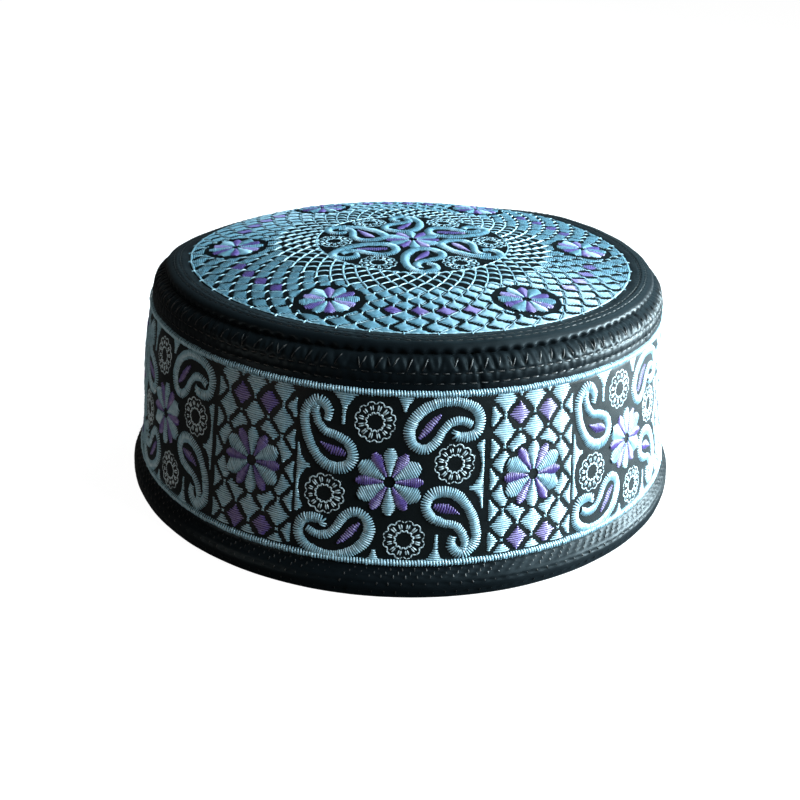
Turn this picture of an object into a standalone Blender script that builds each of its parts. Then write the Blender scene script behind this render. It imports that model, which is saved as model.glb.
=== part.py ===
"""Embroidered skullcap: an oval cap with a straight wall, satin borders and a low domed crown.

Units are metres, +Z is up, +Y points to the nape and -Y to the forehead. The origin is the middle of the rim, on
the surface that the cap rests on. Every ring is turned as a round section of the mean radius, and then stretched
to the oval of the head, before its thickness is added. A section is given by how far it lies inside the widest
line of the rim (its inset) and by its height.
"""
from collections import namedtuple
from math import cos, pi, sin

import bpy
from mathutils import Matrix, Vector

# Driving sizes of the whole cap
RIM_WIDTH = 0.178
RIM_LENGTH = 0.200
CAP_HEIGHT = 0.0725

# Heights of the strips of the wall, from the table up
LOWER_BORDER_HEIGHT = 0.0094
BAND_HEIGHT = 0.0468
UPPER_BORDER_HEIGHT = 0.0088

# How far the faces lie inside the widest line of the rim, or inside each other
BAND_SETBACK = 0.0033
BAND_LEAN = 0.0052
SEAM_SETBACK = 0.0041
CROWN_BORDER_WIDTH = 0.0077
CROWN_BORDER_RISE = 0.0026

# Thickness of the padded cloth
WALL = 0.0026
RIM_FOLD = 0.0034
CROWN_CLOTH = 0.0020

# The satin-stitched edge cords
CORD_WIDTH = 0.0022
CORD_DEPTH = 0.0010

# Clearance between neighbouring pieces, and the steps of a turn
GAP = 0.0003
TURN_STEPS = 80
CORD_SIDES = 8
DOME_RINGS = 7

MEAN_RADIUS = (RIM_WIDTH + RIM_LENGTH) / 4
BAND_FOOT = LOWER_BORDER_HEIGHT
BAND_TOP = BAND_FOOT + BAND_HEIGHT
SEAM_HEIGHT = BAND_TOP + UPPER_BORDER_HEIGHT
BAND_TOP_INSET = BAND_SETBACK + BAND_LEAN
SEAM_INSET = BAND_TOP_INSET + SEAM_SETBACK
PANEL_INSET = SEAM_INSET + CROWN_BORDER_WIDTH
PANEL_HEIGHT = SEAM_HEIGHT + GAP + CROWN_BORDER_RISE
LEAN_SLOPE = BAND_LEAN / BAND_HEIGHT
# Beside a cord the borders stay in line with the band, so that the cord lies flat on them
CORD_SEAT = CORD_WIDTH / 2 + 2 * GAP

# rise: share of the height from the table to the cord's seat; swell: share of the way out to the widest line
RimRow = namedtuple("RimRow", "rise swell")
RIM_FACE = (
    RimRow(1.00, 0.00),
    RimRow(0.72, 0.62),
    RimRow(0.46, 1.00),
    RimRow(0.16, 0.97),
    RimRow(0.00, 0.83),
)

# rise: share of the height from the cord's seat to the seam; run: share of the way in to the seam
BorderRow = namedtuple("BorderRow", "rise run")
SHOULDER_FACE = (
    BorderRow(1.00, 1.00),
    BorderRow(0.95, 0.76),
    BorderRow(0.83, 0.46),
    BorderRow(0.62, 0.18),
    BorderRow(0.34, 0.02),
    BorderRow(0.00, 0.00),
)

# run: share of the border's width, from the seam in; rise: share of its rise from the seam to the panel
CROWN_BORDER_FACE = (
    BorderRow(1.00, 1.00),
    BorderRow(1.07, 0.76),
    BorderRow(1.10, 0.50),
    BorderRow(0.98, 0.24),
    BorderRow(0.70, 0.07),
    BorderRow(0.34, 0.01),
    BorderRow(0.00, 0.04),
)

# Cloth colours, linear, and their roughness
BLACK_SATIN = ((0.011, 0.013, 0.015), 0.42)
BAND_EMBROIDERY = ((0.13, 0.24, 0.30), 0.60)
CROWN_EMBROIDERY = ((0.10, 0.21, 0.29), 0.60)
EDGE_THREAD = ((0.36, 0.55, 0.62), 0.50)


def clear_scene():
    """Remove every object that the file started with."""
    for obj in list(bpy.data.objects):
        bpy.data.objects.remove(obj, do_unlink=True)


def cloth_material(name, look):
    """A plain cloth material with its own colour and roughness."""
    color, roughness = look
    material = bpy.data.materials.new(name)
    material.use_nodes = True
    shader = material.node_tree.nodes["Principled BSDF"]
    shader.inputs["Base Color"].default_value = (*color, 1.0)
    shader.inputs["Roughness"].default_value = roughness
    shader.inputs["Metallic"].default_value = 0.0
    material.diffuse_color = (*color, 1.0)
    return material


def stretch_to_head(mesh):
    """Stretch a round mesh of the mean radius to the oval of the rim."""
    ear_to_ear = RIM_WIDTH / 2 / MEAN_RADIUS
    front_to_back = RIM_LENGTH / 2 / MEAN_RADIUS
    mesh.transform(Matrix.Diagonal((ear_to_ear, front_to_back, 1.0, 1.0)))


def turned_oval(name, section, closed, collection):
    """Turn a section, a list of (inset, height), round the head and return the new object."""
    outline = bpy.data.meshes.new(name + "_section")
    points = [Vector((MEAN_RADIUS - inset, 0.0, height)) for inset, height in section]
    edges = [(index, index + 1) for index in range(len(points) - 1)]
    if closed:
        edges.append((len(points) - 1, 0))
    outline.from_pydata(points, edges, [])
    profile = bpy.data.objects.new(name + "_profile", outline)
    collection.objects.link(profile)

    screw = profile.modifiers.new("turn", "SCREW")
    screw.axis = "Z"
    screw.angle = 2 * pi
    screw.steps = TURN_STEPS
    screw.render_steps = TURN_STEPS
    screw.use_merge_vertices = True
    screw.merge_threshold = 0.00001
    evaluated = profile.evaluated_get(bpy.context.evaluated_depsgraph_get())
    mesh = bpy.data.meshes.new_from_object(evaluated)
    bpy.data.objects.remove(profile, do_unlink=True)
    bpy.data.meshes.remove(outline)

    mesh.name = name
    stretch_to_head(mesh)
    obj = bpy.data.objects.new(name, mesh)
    collection.objects.link(obj)
    return obj


def thicken(obj, thickness):
    """Give an open sheet its cloth thickness, inwards from its outer face."""
    solidify = obj.modifiers.new("cloth", "SOLIDIFY")
    solidify.thickness = thickness
    solidify.offset = -1.0
    solidify.use_even_offset = True


def finish_cloth(obj, material, sharp_degrees=50.0):
    """Shade a piece smooth across its folds and give it its material."""
    obj.data.shade_smooth()
    obj.data.set_sharp_from_angle(angle=sharp_degrees * pi / 180)
    obj.data.materials.clear()
    obj.data.materials.append(material)


def band_inset(height):
    """Inset of the band's outer face, and of its straight line beyond both ends, at a height."""
    return BAND_SETBACK + (height - BAND_FOOT) * LEAN_SLOPE


def make_lower_border(collection, material):
    """The strip folded round the rim: one closed section with a flat fold to rest on."""
    top = BAND_FOOT - GAP / 2
    seat = BAND_FOOT - CORD_SEAT
    seat_inset = band_inset(seat)
    face = [(band_inset(top), top)]
    face += [(seat_inset * (1 - row.swell), seat * row.rise) for row in RIM_FACE]
    fold_outer = face[-1][0]
    inside = [
        (fold_outer + RIM_FOLD, 0.0),
        (band_inset(top) + WALL, top),
    ]
    obj = turned_oval("lower_border", face + inside, True, collection)
    finish_cloth(obj, material, 35.0)
    return obj


def make_band(collection, material):
    """The embroidered wall: a straight strip that leans in towards the crown."""
    low = BAND_FOOT + GAP / 2
    high = BAND_TOP - GAP / 2
    section = [(band_inset(high), high), (band_inset(low), low)]
    obj = turned_oval("embroidered_band", section, False, collection)
    thicken(obj, WALL)
    finish_cloth(obj, material)
    return obj


def make_upper_border(collection, material):
    """The strip over the shoulder: it runs in to the seam and is tucked under the crown's border."""
    foot = BAND_TOP + GAP / 2
    seat = BAND_TOP + CORD_SEAT
    seat_inset = band_inset(seat)
    rise = SEAM_HEIGHT - seat
    run = SEAM_INSET - seat_inset
    section = [(SEAM_INSET + CROWN_CLOTH, SEAM_HEIGHT)]
    section += [(seat_inset + run * row.run, seat + rise * row.rise) for row in SHOULDER_FACE]
    section.append((band_inset(foot), foot))
    obj = turned_oval("upper_border", section, False, collection)
    thicken(obj, WALL)
    finish_cloth(obj, material)
    return obj


def make_crown_border(collection, material):
    """The padded ring that stands on the seam and rolls over to the crown's panel."""
    foot = SEAM_HEIGHT + GAP
    inner = CROWN_BORDER_WIDTH - GAP / 2
    section = [(SEAM_INSET + inner * row.run, foot + CROWN_BORDER_RISE * row.rise) for row in CROWN_BORDER_FACE]
    obj = turned_oval("crown_border", section, False, collection)
    thicken(obj, CROWN_CLOTH)
    finish_cloth(obj, material)
    return obj


def make_crown_panel(collection, material):
    """The low dome: its height falls with the square of the distance from the middle."""
    edge = MEAN_RADIUS - PANEL_INSET - GAP / 2
    drop = CAP_HEIGHT - PANEL_HEIGHT
    section = []
    for ring in range(DOME_RINGS + 1):
        share = ring / DOME_RINGS
        section.append((MEAN_RADIUS - edge * share, CAP_HEIGHT - drop * share ** 2))
    obj = turned_oval("crown_panel", section, False, collection)
    thicken(obj, CROWN_CLOTH)
    finish_cloth(obj, material)
    return obj


def make_edge_cord(name, height, collection, material):
    """A flat oval cord that lies on the face of the wall, along the joint at a height."""
    middle = band_inset(height) - GAP - CORD_DEPTH / 2
    section = []
    for side in range(CORD_SIDES):
        angle = pi / 2 - 2 * pi * side / CORD_SIDES
        up = CORD_WIDTH / 2 * sin(angle)
        out = CORD_DEPTH / 2 * cos(angle)
        section.append((middle - out + up * LEAN_SLOPE, height + up))
    obj = turned_oval(name, section, True, collection)
    finish_cloth(obj, material, 80.0)
    return obj


def main():
    clear_scene()
    cap = bpy.data.collections.new("skullcap")
    bpy.context.scene.collection.children.link(cap)

    satin = cloth_material("black_satin", BLACK_SATIN)
    band = cloth_material("band_embroidery", BAND_EMBROIDERY)
    crown = cloth_material("crown_embroidery", CROWN_EMBROIDERY)
    thread = cloth_material("edge_thread", EDGE_THREAD)

    make_lower_border(cap, satin)
    make_band(cap, band)
    make_upper_border(cap, satin)
    make_crown_border(cap, satin)
    make_crown_panel(cap, crown)
    make_edge_cord("lower_edge_cord", BAND_FOOT, cap, thread)
    make_edge_cord("upper_edge_cord", BAND_TOP, cap, thread)


main()
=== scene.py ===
# %% [markdown]
# # An embroidered skullcap
# The real cap is a stiff oval cap of padded black cloth. Its wall carries a machine-embroidered band
# between two black satin borders, and its low crown carries a round of embroidery. The solids of the part
# give its sizes. This lesson lays finer cloth over them, and then sews every stitch as a small arched
# thread, because light on satin stitches is what the eye knows such a cap by.

from math import radians

import bpy
import numpy as np
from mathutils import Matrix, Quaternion, Vector


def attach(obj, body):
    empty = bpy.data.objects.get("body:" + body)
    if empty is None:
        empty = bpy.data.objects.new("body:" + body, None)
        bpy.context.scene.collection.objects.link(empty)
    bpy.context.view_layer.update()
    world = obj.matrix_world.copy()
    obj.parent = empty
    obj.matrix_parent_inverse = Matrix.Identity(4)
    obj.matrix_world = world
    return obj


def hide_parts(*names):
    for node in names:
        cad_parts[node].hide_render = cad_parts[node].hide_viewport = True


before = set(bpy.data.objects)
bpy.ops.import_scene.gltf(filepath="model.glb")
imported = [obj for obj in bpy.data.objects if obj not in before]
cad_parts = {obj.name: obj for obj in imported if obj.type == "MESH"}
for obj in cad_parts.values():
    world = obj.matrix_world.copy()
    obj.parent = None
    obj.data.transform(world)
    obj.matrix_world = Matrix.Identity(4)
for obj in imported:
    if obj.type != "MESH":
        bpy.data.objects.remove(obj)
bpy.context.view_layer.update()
print("CAD nodes:", sorted(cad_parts))

# %% [markdown]
# ## Sizes and the oval
# Every ring of the cap is the same oval, only smaller as it climbs. So a place on the cap needs three
# numbers: the angle round the head, the height, and the inset, which is how far the ring lies inside the
# widest line of the rim. All of these sizes are in millimetres, and one function turns them into Blender's
# metres.

# %% Sizes of the cap
MM = 0.001
HALF_WIDTH = 89.0
HALF_LENGTH = 100.0
MEAN_RADIUS = (HALF_WIDTH + HALF_LENGTH) / 2
CAP_HEIGHT = 72.5
BAND_FOOT = 9.4
BAND_TOP = 56.2
BAND_MIDDLE = (BAND_FOOT + BAND_TOP) / 2
BAND_FOOT_INSET = 3.3
BAND_SLOPE = 5.2 / 46.8
PANEL_RADIUS = 74.05
PANEL_DROP = 4.6
dice = np.random.default_rng(11)

# How worn cloth settles: one side of the wall is slack, and the crown's edge sinks at the back. A pair says
# where a change starts and where it is complete, as a share of the cap's half size or as a height in mm.
SIDE_BELLY = 1.9
BELLY_HEIGHT = 42.0
BELLY_SPREAD = 16.0
BACK_SINK = 3.0
SEAM_TUCK = 0.8
SINK_SKEW = 0.74
SINK_AWAY = (0.24, 0.94)
SINK_REACH = (0.635, 0.85)
TUCK_REACH = (0.76, 0.82)
SINK_HEIGHT = (50.0, 68.0)


def held_share(value, low, high):
    """Share of the way from low to high, held between 0 and 1."""
    return np.clip((value - low) / (high - low), 0.0, 1.0)


def hump(value, middle, width, power=2):
    """A smooth hump, 1 at its middle and falling to 0 beside it."""
    return np.exp(-(((value - middle) / width) ** power))


def settled(x, y, height):
    """Ease the regular form, in mm, and turn it to metres: one side is slack, and the crown's edge sinks."""
    belly = SIDE_BELLY * held_share(-x, 0.0, HALF_WIDTH) ** 2 * hump(height, BELLY_HEIGHT, BELLY_SPREAD)
    reach = np.hypot(x / HALF_WIDTH, y / HALF_LENGTH)
    away = held_share(y / HALF_LENGTH - SINK_SKEW * x / HALF_WIDTH, *SINK_AWAY)
    sink = BACK_SINK * held_share(reach, *SINK_REACH) ** 1.6 + SEAM_TUCK * held_share(reach, *TUCK_REACH)
    sink = sink * away**2 * (3.0 - 2.0 * away) * held_share(height, *SINK_HEIGHT)
    eased = np.broadcast_arrays(x * (1.0 + belly / HALF_WIDTH), y, height - sink)
    return np.stack(eased, axis=-1) * MM


def ring_point(inset, height, angle):
    """Place of (inset, height) in mm at an angle round the head, in metres. Arrays are fine."""
    share = (MEAN_RADIUS - inset) / MEAN_RADIUS
    return settled(HALF_WIDTH * share * np.cos(angle), HALF_LENGTH * share * np.sin(angle), height)


def band_inset(height):
    """Inset of the band's straight, leaning face at a height."""
    return BAND_FOOT_INSET + (height - BAND_FOOT) * BAND_SLOPE


print("band insets, mm:", round(band_inset(BAND_FOOT), 2), round(band_inset(BAND_TOP), 2))

# %% [markdown]
# ## The camera
# The photograph looks at the front of the cap from a little above, from the wearer's left of the middle, at
# arm's length. The camera is placed by the direction it looks along, its distance, and a small roll that
# tips the table line down to the right.

# %% Camera
CAMERA_AIM = Vector((-0.00168, -0.00034, 0.01664))
CAMERA_BACK = Vector((0.1269, -0.9154, 0.3820)).normalized()
CAMERA_DISTANCE = 0.4069
CAMERA_LENS = 53.92
CAMERA_ROLL = radians(2.64)

camera_data = bpy.data.cameras.new("photo_camera")
camera_data.lens = CAMERA_LENS
camera_data.sensor_width = 36.0
camera_data.clip_start = 0.01
camera_data.clip_end = 50.0
camera = bpy.data.objects.new("photo_camera", camera_data)
bpy.context.scene.collection.objects.link(camera)
camera.rotation_mode = "QUATERNION"
camera.location = CAMERA_AIM + CAMERA_BACK * CAMERA_DISTANCE
look = (-CAMERA_BACK).to_track_quat("-Z", "Y")
camera.rotation_quaternion = look @ Quaternion((0.0, 0.0, 1.0), CAMERA_ROLL)
bpy.context.scene.camera = camera
print("camera at, mm:", [round(1000 * value) for value in camera.location])

# %% [markdown]
# ## Colours and nodes
# A colour picked from a picture is an sRGB number, made for the eye, while the renderer adds up light in
# linear numbers. One function turns the first into the second. Another small one adds any shader node with
# its settings and its links, so that each material reads as a short list.


# %% Colour and node helpers
def linear(hex_colour):
    """An sRGB colour such as #9fc4d2 as linear red, green, blue and alpha."""
    channels = []
    for start in (1, 3, 5):
        value = int(hex_colour[start:start + 2], 16) / 255
        if value <= 0.04045:
            channels.append(value / 12.92)
        else:
            channels.append(((value + 0.055) / 1.055) ** 2.4)
    return (*channels, 1.0)


def add_node(tree, kind, settings=None, values=None, links=None):
    """Add a node: settings are its attributes, values its sockets' values, links what feeds its sockets."""
    node = tree.nodes.new(kind)
    for name, value in (settings or {}).items():
        setattr(node, name, value)
    for name, value in (values or {}).items():
        node.inputs[name].default_value = value
    for name, source in (links or {}).items():
        tree.links.new(source, node.inputs[name])
    return node


def new_material(name):
    """An empty material and its node tree."""
    material = bpy.data.materials.new(name)
    material.use_nodes = True
    material.node_tree.nodes.clear()
    return material, material.node_tree


# A Mix node keeps its colours in these input sockets, and gives their mix in this output socket
COLOUR_MIX = {"data_type": "RGBA"}
MIX_A = 6
MIX_B = 7
MIX_RESULT = 2
print("pale blue, linear:", [round(value, 3) for value in linear("#9fc4d2")[:3]])

# %% [markdown]
# ## Floor, sky and lamps
# The cap stands on a sweep of plain white paper, which is flat under the cap and curves up behind it. In
# the photograph a large window on the right lights the cap, so the left side falls into shade while black
# satin and shiny thread on the right catch a strong glare. Three lamps stand for that window: one from the
# front right, a strong low one from the side, which burns out the wall, and a high one for the crown. A
# cool lamp behind grazes the crown, and a faint warm one opens the shade at the left. The paper glows
# evenly and throws no light on the cap, so that black cloth stays black as it does in the photograph.

# %% Stage
floor_material, tree = new_material("white_studio_paper")
speckle = add_node(tree, "ShaderNodeTexNoise", values={"Scale": 40.0, "Detail": 2.0})
paper_tint = add_node(
    tree,
    "ShaderNodeMix",
    COLOUR_MIX,
    {MIX_A: linear("#8c8e8f"), MIX_B: linear("#929495")},
    {"Factor": speckle.outputs["Fac"]},
)
paper = add_node(
    tree,
    "ShaderNodeBsdfPrincipled",
    values={"Roughness": 0.9, "Emission Strength": 0.97, "Emission Color": linear("#ffffff")},
    links={"Base Color": paper_tint.outputs[MIX_RESULT]},
)
add_node(tree, "ShaderNodeOutputMaterial", links={"Surface": paper.outputs["BSDF"]})

# Rings of the paper as radius and rise in metres, outwards from a middle point
SWEEP = [(0.5, 0.0), (4.0, 0.0), (5.0, 0.1), (5.8, 0.5), (6.3, 1.2), (6.5, 2.2), (6.5, 8.0)]
SWEEP_SIDES = 64
sweep_corners = [(0.0, 0.0, 0.0)]
for radius, rise in SWEEP:
    for side in range(SWEEP_SIDES):
        turn = 2 * np.pi * side / SWEEP_SIDES
        sweep_corners.append((radius * np.cos(turn), radius * np.sin(turn), rise))
sweep_faces = [(0, 1 + side, 1 + (side + 1) % SWEEP_SIDES) for side in range(SWEEP_SIDES)]
for ring in range(len(SWEEP) - 1):
    inner = 1 + ring * SWEEP_SIDES
    outer = inner + SWEEP_SIDES
    for side in range(SWEEP_SIDES):
        ahead = (side + 1) % SWEEP_SIDES
        sweep_faces.append((inner + side, outer + side, outer + ahead, inner + ahead))
floor_mesh = bpy.data.meshes.new("studio_floor")
floor_mesh.from_pydata(sweep_corners, [], sweep_faces)
floor_mesh.shade_smooth()
floor_mesh.materials.append(floor_material)
floor = bpy.data.objects.new("studio_floor", floor_mesh)
floor.visible_glossy = False
floor.visible_diffuse = False
floor.visible_shadow = False
bpy.context.scene.collection.objects.link(floor)
print("floor corners:", len(sweep_corners))

# %% Sky and lamps
world = bpy.data.worlds.new("soft_studio")
world.use_nodes = True
bpy.context.scene.world = world
sky = world.node_tree.nodes["Background"]
sky.inputs["Color"].default_value = linear("#f0ece8")
sky.inputs["Strength"].default_value = 0.06
bpy.context.scene.view_settings.view_transform = "Standard"


def soft_lamp(name, azimuth, elevation, distance, width, height, power, colour):
    """A rectangular lamp that looks at the cap, placed by azimuth from the front to the right, in degrees."""
    data = bpy.data.lights.new(name, "AREA")
    data.shape = "RECTANGLE"
    data.size = width
    data.size_y = height
    data.energy = power
    data.color = linear(colour)[:3]
    lamp = bpy.data.objects.new(name, data)
    turn = radians(azimuth)
    rise = radians(elevation)
    heading = Vector((np.sin(turn) * np.cos(rise), -np.cos(turn) * np.cos(rise), np.sin(rise)))
    lamp.location = heading * distance
    lamp.rotation_euler = (-heading).to_track_quat("-Z", "Y").to_euler()
    lamp.visible_camera = False
    bpy.context.scene.collection.objects.link(lamp)


soft_lamp("window_right", 74.0, 28.0, 0.85, 0.50, 0.60, 16.5, "#effcff")
soft_lamp("low_window_right", 110.0, 9.0, 0.90, 0.50, 0.25, 58.0, "#e2f8ff")
soft_lamp("high_window_right", 100.0, 57.0, 0.85, 0.40, 0.30, 6.0, "#e8fbff")
soft_lamp("lamp_behind", 150.0, 42.0, 1.00, 0.80, 0.50, 3.9, "#b8ecff")
soft_lamp("room_left", -52.0, 6.0, 1.00, 0.50, 0.20, 2.5, "#faeee2")

# %% [markdown]
# ## Black satin
# The two borders and the ring round the crown are polyester satin, woven so that most of the surface is
# long floating warp threads. That makes it deep black when it faces away from the light and slate grey when
# it catches it, so the base colour is nearly black and the gloss is broad. The floats are about 0.3 mm
# wide, drawn here as streaks that run round the cap, and a second slow noise stands for the wear and dust
# that lighten the cloth in patches.

# %% Black satin material
satin_material, tree = new_material("black_polyester_satin")
cloth_map = add_node(tree, "ShaderNodeUVMap", {"uv_map": "cloth_mm"})
float_stretch = add_node(
    tree, "ShaderNodeMapping", values={"Scale": (0.35, 3.2, 1.0)}, links={"Vector": cloth_map.outputs["UV"]}
)
floats = add_node(
    tree,
    "ShaderNodeTexNoise",
    values={"Scale": 1.0, "Detail": 3.0, "Roughness": 0.6},
    links={"Vector": float_stretch.outputs["Vector"]},
)
patches = add_node(
    tree,
    "ShaderNodeTexNoise",
    values={"Scale": 0.06, "Detail": 2.0},
    links={"Vector": cloth_map.outputs["UV"]},
)
patch_tint = add_node(
    tree,
    "ShaderNodeMix",
    COLOUR_MIX,
    {MIX_A: linear("#04070a"), MIX_B: linear("#0b1013")},
    {"Factor": patches.outputs["Fac"]},
)
float_gloss = add_node(
    tree,
    "ShaderNodeMapRange",
    values={"To Min": 0.34, "To Max": 0.46},
    links={"Value": floats.outputs["Fac"]},
)
float_bump = add_node(
    tree,
    "ShaderNodeBump",
    values={"Strength": 0.35, "Distance": 0.0001},
    links={"Height": floats.outputs["Fac"]},
)
satin = add_node(
    tree,
    "ShaderNodeBsdfPrincipled",
    values={
        "IOR": 1.52,
        "Specular IOR Level": 0.055,
        "Specular Tint": linear("#bfe0ee"),
        "Sheen Weight": 0.02,
        "Sheen Roughness": 0.5,
        "Sheen Tint": linear("#b4d6e4"),
    },
    links={
        "Base Color": patch_tint.outputs[MIX_RESULT],
        "Roughness": float_gloss.outputs["Result"],
        "Normal": float_bump.outputs["Normal"],
    },
)
add_node(tree, "ShaderNodeOutputMaterial", links={"Surface": satin.outputs["BSDF"]})
print("satin nodes:", len(tree.nodes))

# %% [markdown]
# ## Ground cloth
# Under the embroidery lies black cotton, duller than the satin, with a square weave of about 0.4 mm. It
# only shows between the stitches, as the deep black that makes the pale threads stand out. The band's
# ground is sateen, which turns slate grey where the light grazes it, and the crown's is plain and stays
# black. Both come from one function.


# %% Ground cloth materials
def ground_material(name, shine, glow):
    """Black cloth with a square weave, its specular level and the glow of its fuzz."""
    material, tree = new_material(name)
    cloth_map = add_node(tree, "ShaderNodeUVMap", {"uv_map": "cloth_mm"})
    weave = add_node(
        tree, "ShaderNodeTexChecker", values={"Scale": 2.5}, links={"Vector": cloth_map.outputs["UV"]}
    )
    fluff = add_node(
        tree,
        "ShaderNodeTexNoise",
        values={"Scale": 1.4, "Detail": 3.0},
        links={"Vector": cloth_map.outputs["UV"]},
    )
    fluff_tint = add_node(
        tree,
        "ShaderNodeMix",
        COLOUR_MIX,
        {MIX_A: linear("#040607"), MIX_B: linear("#0b1012")},
        {"Factor": fluff.outputs["Fac"]},
    )
    bump = add_node(
        tree,
        "ShaderNodeBump",
        values={"Strength": 0.25, "Distance": 0.0001},
        links={"Height": weave.outputs["Fac"]},
    )
    ground = add_node(
        tree,
        "ShaderNodeBsdfPrincipled",
        values={
            "IOR": 1.45,
            "Roughness": 0.45,
            "Specular IOR Level": shine,
            "Sheen Weight": glow,
            "Sheen Roughness": 0.5,
            "Sheen Tint": linear("#bfe6f2"),
        },
        links={"Base Color": fluff_tint.outputs[MIX_RESULT], "Normal": bump.outputs["Normal"]},
    )
    add_node(tree, "ShaderNodeOutputMaterial", links={"Surface": ground.outputs["BSDF"]})
    return material


band_ground_material = ground_material("black_sateen_ground", 0.10, 0.06)
crown_ground_material = ground_material("black_cotton_ground", 0.03, 0.0)
print("grounds:", band_ground_material.name, crown_ground_material.name)

# %% [markdown]
# ## Cloth turned round the oval
# Each strip of cloth is a closed section, like a cut through it, that is carried round the oval. The
# section is written as a few points and rounded by a smooth curve through them, because sewn cloth has no
# corners. A relief function then presses the sewing rows in. Arrays make the mesh at once, and the same
# millimetres serve as UVs, so that a pattern on the cloth has its real size.


# %% Cloth helpers
def run_along(line):
    """The length run along a line of points, at each of them."""
    return np.concatenate([[0.0], np.cumsum(np.linalg.norm(np.diff(line, axis=0), axis=1))])


# Angles round the oval, and the length in mm run from the front along the band's mid height
RING_ANGLES = np.linspace(-np.pi / 2, 1.5 * np.pi, 4000)
RING_LENGTHS = run_along(ring_point(band_inset(BAND_MIDDLE), 0.0, RING_ANGLES) / MM)
RING_ROUND = RING_LENGTHS[-1]


def angle_at(run):
    """Angle round the head at a length, in mm, run from the front at the band's mid height."""
    return np.interp(np.mod(run, RING_ROUND), RING_LENGTHS, RING_ANGLES)


def rounded(points, spacing):
    """A smooth curve through the points, resampled about every `spacing` mm."""
    points = np.array(points, float)
    chords = run_along(points)
    slopes = np.gradient(points, chords, axis=0)
    count = max(2, int(round(chords[-1] / spacing)) + 1)
    run = np.linspace(0.0, chords[-1], count)
    span = np.clip(np.searchsorted(chords, run, side="right") - 1, 0, len(chords) - 2)
    length = (chords[span + 1] - chords[span])[:, None]
    part = (run - chords[span])[:, None] / length
    start = (2 * part**3 - 3 * part**2 + 1) * points[span]
    start += (part**3 - 2 * part**2 + part) * length * slopes[span]
    end = (3 * part**2 - 2 * part**3) * points[span + 1] + (part**3 - part**2) * length * slopes[span + 1]
    return start + end


def mesh_from_quads(name, vertices, quads, uvs, uv_name, material):
    """A smooth mesh object from arrays of vertices, quads and one UV pair for each corner."""
    mesh = bpy.data.meshes.new(name)
    mesh.vertices.add(len(vertices))
    mesh.vertices.foreach_set("co", vertices.astype(np.float32).ravel())
    mesh.loops.add(quads.size)
    mesh.loops.foreach_set("vertex_index", quads.astype(np.int32).ravel())
    mesh.polygons.add(len(quads))
    mesh.polygons.foreach_set("loop_start", np.arange(0, quads.size, 4, dtype=np.int32))
    layer = mesh.uv_layers.new(name=uv_name)
    layer.data.foreach_set("uv", uvs.astype(np.float32).ravel())
    mesh.update(calc_edges=True)
    mesh.validate()
    mesh.shade_smooth()
    mesh.materials.append(material)
    obj = bpy.data.objects.new(name, mesh)
    bpy.context.scene.collection.objects.link(obj)
    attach(obj, "root")
    return obj


INNER_SPACING = 3.0


def turned_cloth(name, outer, inner, around, material, relief, spacing):
    """Carry a closed section, outer face up and in, then inner face back, round the oval."""
    face = rounded(outer, spacing)
    section = np.vstack([face, rounded(inner, INNER_SPACING)])
    run = run_along(section)
    ahead = np.roll(section, -1, axis=0) - np.roll(section, 1, axis=0)
    ahead /= np.linalg.norm(ahead, axis=1)[:, None]
    along = np.arange(around)[:, None] * RING_ROUND / around
    rows = len(section)
    lift = relief(along, section[:, 0], section[:, 1]) * (np.arange(rows) < len(face))
    inset = section[:, 0] - lift * ahead[:, 1]
    height = section[:, 1] + lift * ahead[:, 0]
    vertices = ring_point(inset, height, angle_at(along)).reshape(-1, 3)
    turn = np.repeat(np.arange(around), rows)
    step = np.tile(np.arange(rows), around)
    here = turn * rows
    beside = (turn + 1) % around * rows
    step_next = (step + 1) % rows
    quads = np.stack([here + step, beside + step, beside + step_next, here + step_next], axis=1)
    pitch = RING_ROUND / around
    low_u = turn * pitch
    high_u = low_u + pitch
    low_v = run[step]
    high_v = np.append(run[1:], run[-1] + 2.0)[step]
    uvs = np.stack([low_u, low_v, high_u, low_v, high_u, high_v, low_u, high_v], axis=1)
    return mesh_from_quads(name, vertices, quads, uvs, "cloth_mm", material)


print("length round the band, mm:", round(RING_ROUND, 1))

# %% [markdown]
# ## Sewing rows in the borders
# The borders are padded and sewn down in rows, about 3.1 mm from stitch to stitch. Each row pulls a shallow
# groove with a small dimple at every needle hole, and the cloth puffs up between the rows. That relief is
# in the mesh, so that the light breaks on it, and the black sewing threads are laid on it later.

# %% Sewn relief
SEWING_PITCH = 3.1


def sewn_grooves(run, at, rows, depth, width, shift):
    """Inward relief of sewing rows, each shifted against the last, with dimples along the run."""
    lift = 0.0
    for number, row in enumerate(rows):
        dimple = 0.62 + 0.38 * np.cos(2 * np.pi * (run / SEWING_PITCH + shift * number))
        lift = lift - depth * dimple * hump(at, row, width)
    return lift


def soft_waves(run, height, size):
    """Slow uneven puffs, because padding is never quite even."""
    first = np.sin(run * 0.31 + 1.3 * np.sin(height * 0.5) + 0.4)
    second = np.sin(run * 0.123 + 2.1 + 0.6 * np.sin(run * 0.047))
    third = np.sin(run * 0.83 + height * 0.9)
    return size * (0.5 * first + 0.35 * second + 0.15 * third)


print("needle holes in a row:", int(RING_ROUND / SEWING_PITCH))

# %% Lower border
# A face lists inset and height, a row is a height on it, and the shift staggers the needle holes of the rows
LOWER_FACE = [
    (2.4, 0.0), (0.95, 0.02), (0.35, 0.5), (0.08, 1.6), (0.0, 3.3),
    (0.42, 4.8), (1.3, 6.1), (2.35, 7.3), (3.05, 8.3), (3.3, 9.4),
]
LOWER_ROWS = (7.6, 6.85, 6.1, 4.45, 2.0)
LOWER_SHIFT = 0.37
FLAT_FOLD = 1.2


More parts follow.
